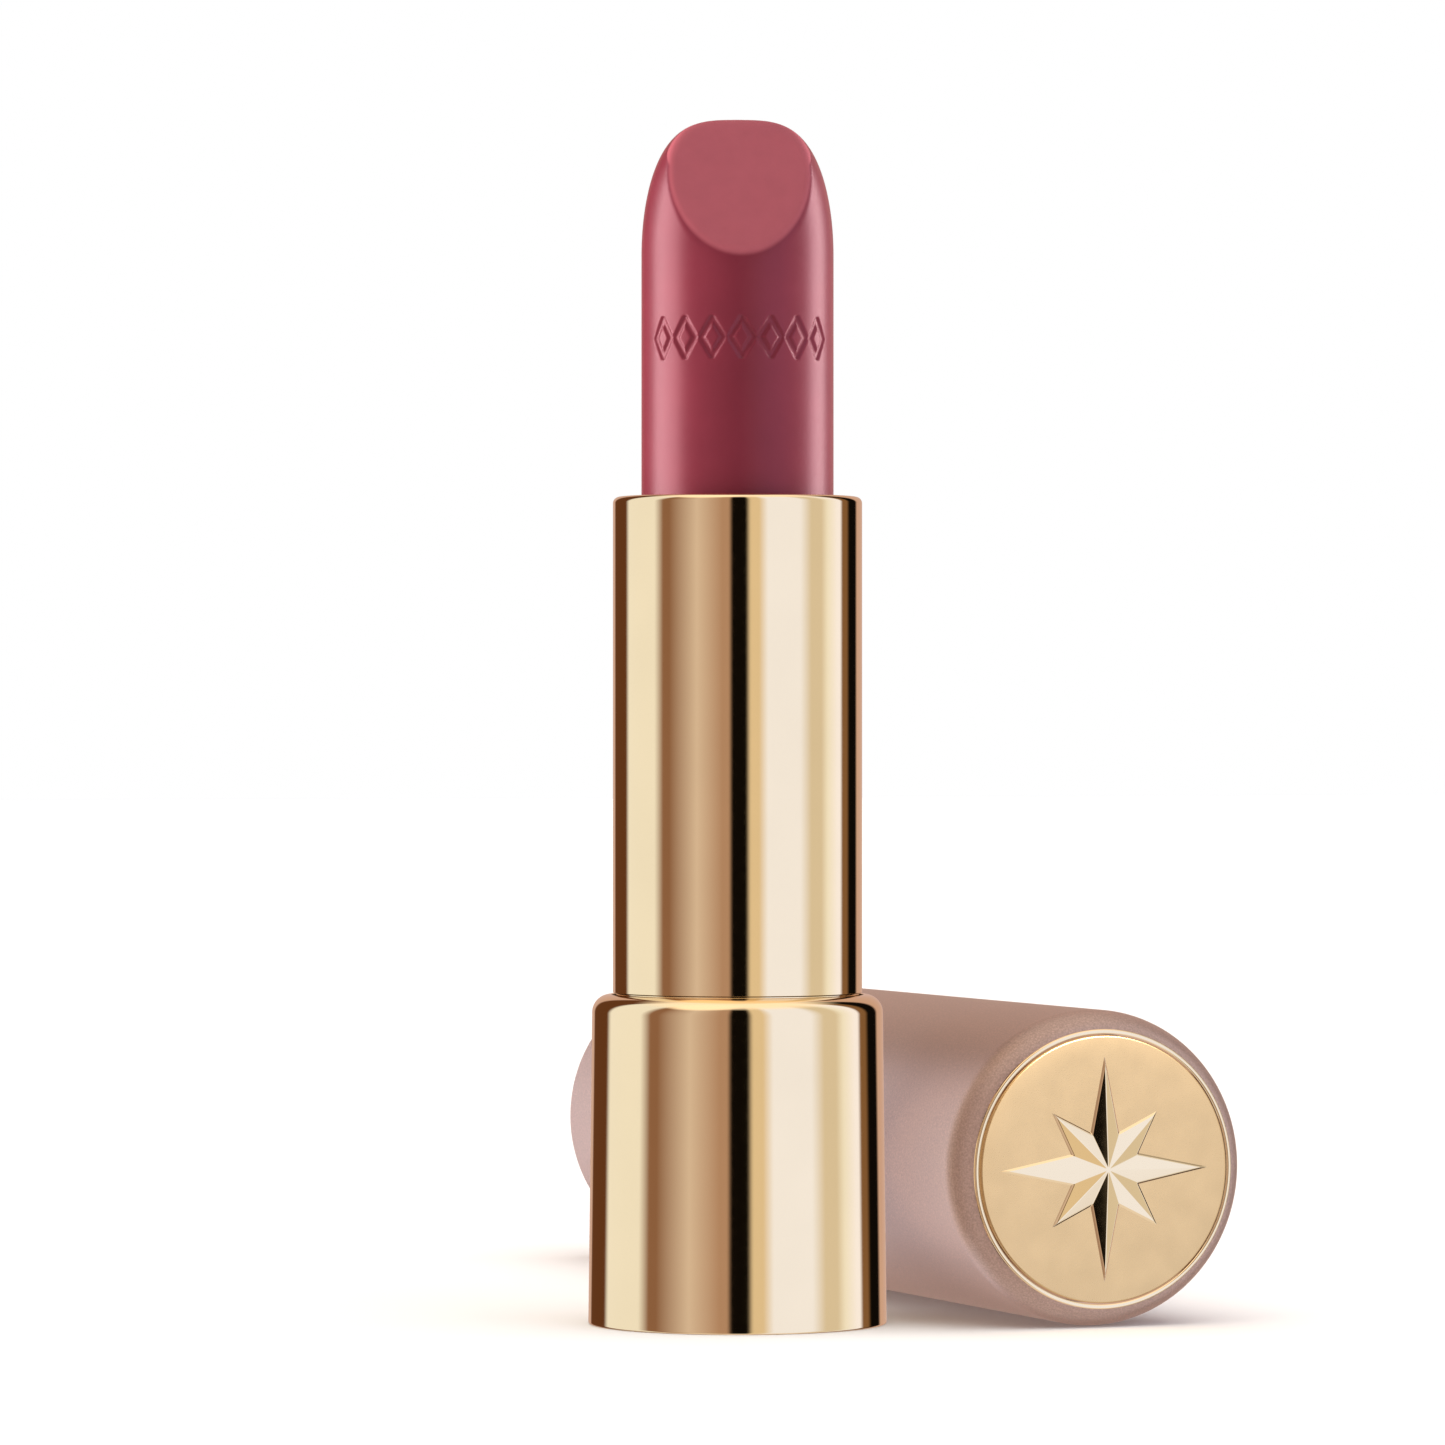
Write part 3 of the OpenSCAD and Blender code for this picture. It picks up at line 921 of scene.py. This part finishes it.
def heading(bearing, height):
    """Unit vector at a bearing from the camera towards its right, and a height, in degrees."""
    turn, lift = math.radians(bearing), math.radians(height)
    level = -FORWARD * math.cos(turn) + RIGHT * math.sin(turn)
    return level * math.cos(lift) + Vector((0, 0, math.sin(lift)))


def world():
    """Panels and flags all round at the height of the case, a bright ceiling, and a white backdrop."""
    made = bpy.data.worlds.new("studio")
    bpy.context.scene.world = made
    g = Graph(made)
    direction = g.add("ShaderNodeTexCoord")
    towards_right = g.dot(direction, RIGHT)
    towards_camera = g.dot(direction, -FORWARD)
    bearing = g.math("ARCTAN2", towards_right, towards_camera)
    share = g.remap(bearing, -math.pi, math.pi)
    panels = g.ramp(share, [((degrees + 180) / 360, light) for degrees, light in PANELS])
    height = g.add("ShaderNodeSeparateXYZ", {0: direction}, out=2)
    lit = g.mix(g.remap(height, *CEILING_SPAN, smooth=True), panels, rgba(CEILING))
    towards_glow = g.dot(direction, heading(*HIGH_GLOW_AT))
    lit = g.mix(g.remap(towards_glow, *HIGH_GLOW_SPAN, smooth=True), lit, rgba(HIGH_GLOW))
    lit = g.mix(g.remap(height, *BELOW_SPAN, smooth=True), lit, rgba(BELOW))
    seen = g.add("ShaderNodeLightPath")
    colour = g.mix(seen, lit, (1.0, 1.0, 1.0, 1.0))
    g.add("ShaderNodeOutputWorld", {0: g.add("ShaderNodeBackground", {0: colour, 1: 1.0})})


def floor():
    """A wide pale floor just under the case, which the gold doesn't reflect."""
    size = 3.0
    below = 0.02 * MM
    mesh = bpy.data.meshes.new("floor")
    corners = [(-size, -size, -below), (size, -size, -below), (size, size, -below), (-size, size, -below)]
    mesh.from_pydata(corners, [], [(0, 1, 2, 3)])
    made = bpy.data.objects.new("floor", mesh)
    bpy.context.scene.collection.objects.link(made)
    material = bpy.data.materials.new("pale_floor")
    g = Graph(material)
    tone = g.ramp(g.noise(400.0), [(0.3, (0.90, 0.90, 0.90)), (0.7, (0.92, 0.92, 0.92))])
    made.data.materials.append(finished(g, material, {"Base Color": tone, "Roughness": 0.9}))
    made.visible_glossy = False
    made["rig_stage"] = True


def group_of(name, members):
    """A collection of the objects of those names, to link a light to."""
    group = bpy.data.collections.new(name)
    for member in members:
        group.objects.link(bpy.data.objects[member])
    return group


def soft_light(name, lit, bearing, height, size, energy, colour, aim=MIDDLE, distance=1.0):
    """A softbox at a bearing and height in degrees, which only some pieces are lit and shaded by."""
    towards = heading(bearing, height)
    light = bpy.data.lights.new(name, "AREA")
    light.color = colour
    light.shape = "RECTANGLE"
    light.size, light.size_y = size
    light.energy = energy
    light.cycles.use_multiple_importance_sampling = False
    made = bpy.data.objects.new(name, light)
    made.location = aim + towards * distance
    made.rotation_euler = towards.to_track_quat("Z", "Y").to_euler()
    made.visible_camera = False
    bpy.context.scene.collection.objects.link(made)
    made.light_linking.receiver_collection = group_of(name + "_lit", lit)
    made.light_linking.blocker_collection = group_of(name + "_shaded_by", lit)


ROSY = (1.0, 0.84, 0.85)
PEARLY = (0.97, 0.98, 1.12)
WARM = (1.0, 0.97, 0.92)


def lights():
    """Lights beside the lipstick, behind the cap's side, close over the disc, and over the floor."""
    soft_light("lipstick_left", ["lipstick"], bearing=-94, height=5, size=(0.8, 0.9), energy=18, colour=ROSY)
    soft_light("lipstick_right", ["lipstick"], bearing=112, height=5, size=(0.5, 0.9), energy=12, colour=ROSY)
    soft_light("cap_side", ["cap_shell_lacquered"], bearing=-134, height=-11, size=(0.6, 1.8), energy=4.6,
               colour=PEARLY)
    soft_light("disc_top", ["button_disc_gold"], bearing=42, height=35, size=(0.05, 0.03), energy=0.16,
               colour=WARM, aim=in_cap(-BUTTON_R / 3, BUTTON_R, BUTTON_TOP), distance=0.1)
    sun = bpy.data.lights.new("over_floor", "SUN")
    sun.energy = 1.6
    sun.angle = math.radians(80)
    over_floor = bpy.data.objects.new("over_floor", sun)
    bpy.context.scene.collection.objects.link(over_floor)
    over_floor.light_linking.receiver_collection = group_of("over_floor_lit", ["floor"])


def camera():
    data = bpy.data.cameras.new("camera")
    data.lens = CAMERA_LENS
    data.clip_start = 0.01
    made = bpy.data.objects.new("camera", data)
    made.location = -CAMERA_DISTANCE * FORWARD + CAMERA_SIDE * RIGHT + Vector((0, 0, CAMERA_HEIGHT))
    made.rotation_euler = (math.radians(90), 0, -CAMERA_TURN)
    bpy.context.scene.collection.objects.link(made)
    bpy.context.scene.camera = made


# ---------------------------------------------------------------- putting it together

def build():
    gold = gold_mirror()
    satin = gold_satin()
    ivory = moulded("ivory_plastic", IVORY, 0.34)
    black = moulded("black_plastic", BLACK, 0.38)
    silicone = moulded("silicone", SILICONE, 0.6, 0.3)
    paper = moulded("label_paper", PAPER, 0.55, 0.3)
    turned_steel = steel("turned_steel")
    wire_steel = steel("wire_steel", (1, 8, 1))
    base_sleeve(gold)
    tube_shell(gold)
    base_foot(ivory, paper)
    cut_place, cut_normal = [front_point(*v) for v in cut_plane()]
    bullet(wax(cut_place, cut_normal.normalized()))
    cap_shell(cap_lacquer())
    cap_bezel(gold)
    button_disc(satin)
    button_relief(gold)
    cap_liner(ivory)
    ejector_bell(ivory)
    button_spring(wire_steel)
    cap_foil(gold)
    dress("base_weight", turned_steel, 0.1)
    dress("guide_tube", ivory)
    dress("brake_ring", silicone)
    dress("retaining_ring", wire_steel)
    dress("spiral_cam", ivory)
    dress("cup", ivory)
    dress("button_guide", ivory)
    dress("button_stem", black)
    dress("stem_clip", wire_steel, 0.05)


camera()
world()
floor()
build()
lights()
bpy.context.scene.view_settings.view_transform = "Standard"
# Nothing reflects the cap's pieces, as in the photograph
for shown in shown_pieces():
    shown.visible_glossy = shown.get("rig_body") not in ("cap", "button")
